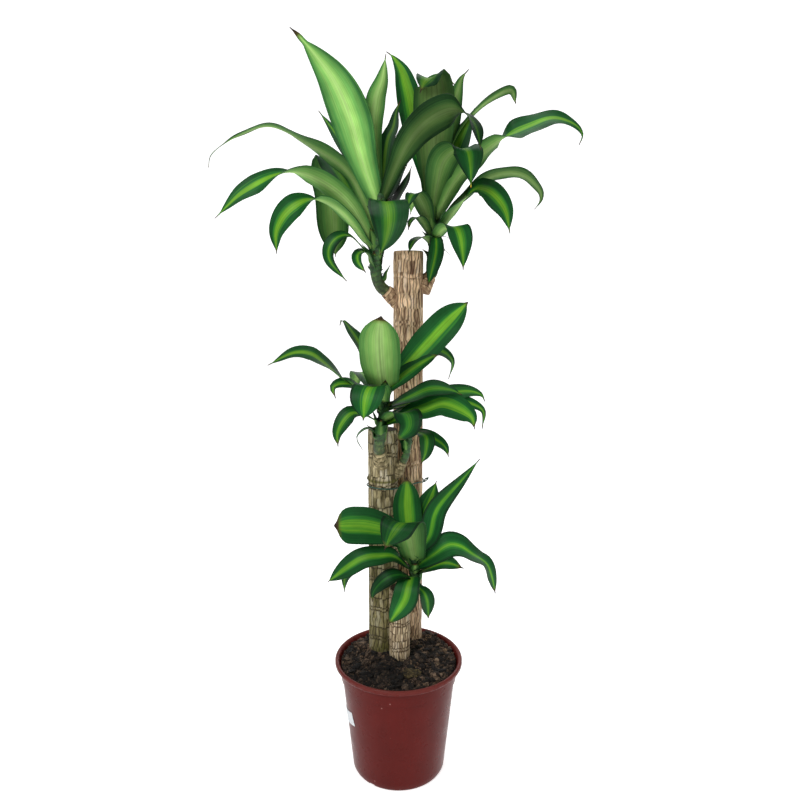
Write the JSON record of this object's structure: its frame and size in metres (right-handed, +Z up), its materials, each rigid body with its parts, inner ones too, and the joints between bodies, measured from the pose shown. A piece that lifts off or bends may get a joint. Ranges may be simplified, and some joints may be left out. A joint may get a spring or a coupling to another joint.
{
  "type": "potted corn plant",
  "caption": "Potted corn plant with bare woody canes of different heights, arching striped leaves at their tops and a tapered nursery pot that rests on its foot.",
  "frame": {"origin": "middle of the pot's foot, at floor level", "axes": "+Z up along the pot's axis; +Y to the back, away from the side with the low shoot; +X to the right seen from the front"},
  "size_m": [0.6557, 0.3904, 1.3373],
  "materials": {
    "pot": "satin dark red moulded plastic",
    "soil": "loose dark peat and bark chips",
    "cane_brown": "dry fissured bark",
    "cane_grey": "dry plated bark, olive near the soil",
    "cane_pale": "dry pale bark",
    "leaf": "glossy green with a bright yellow-green middle band",
    "wire": "dark green coating",
    "label": "blank white"
  },
  "bodies": {
    "root": {"pot": "pot", "soil": "soil", "cane_tall": "cane_brown", "cane_mid": "cane_grey", "cane_short": "cane_pale", "shoot_top_left": "leaf", "shoot_top_right": "leaf", "shoot_mid_left": "leaf", "shoot_mid_right": "leaf", "shoot_low": "leaf", "tie_wire": "wire", "pot_label": "label"}
  },
  "joints": []
}
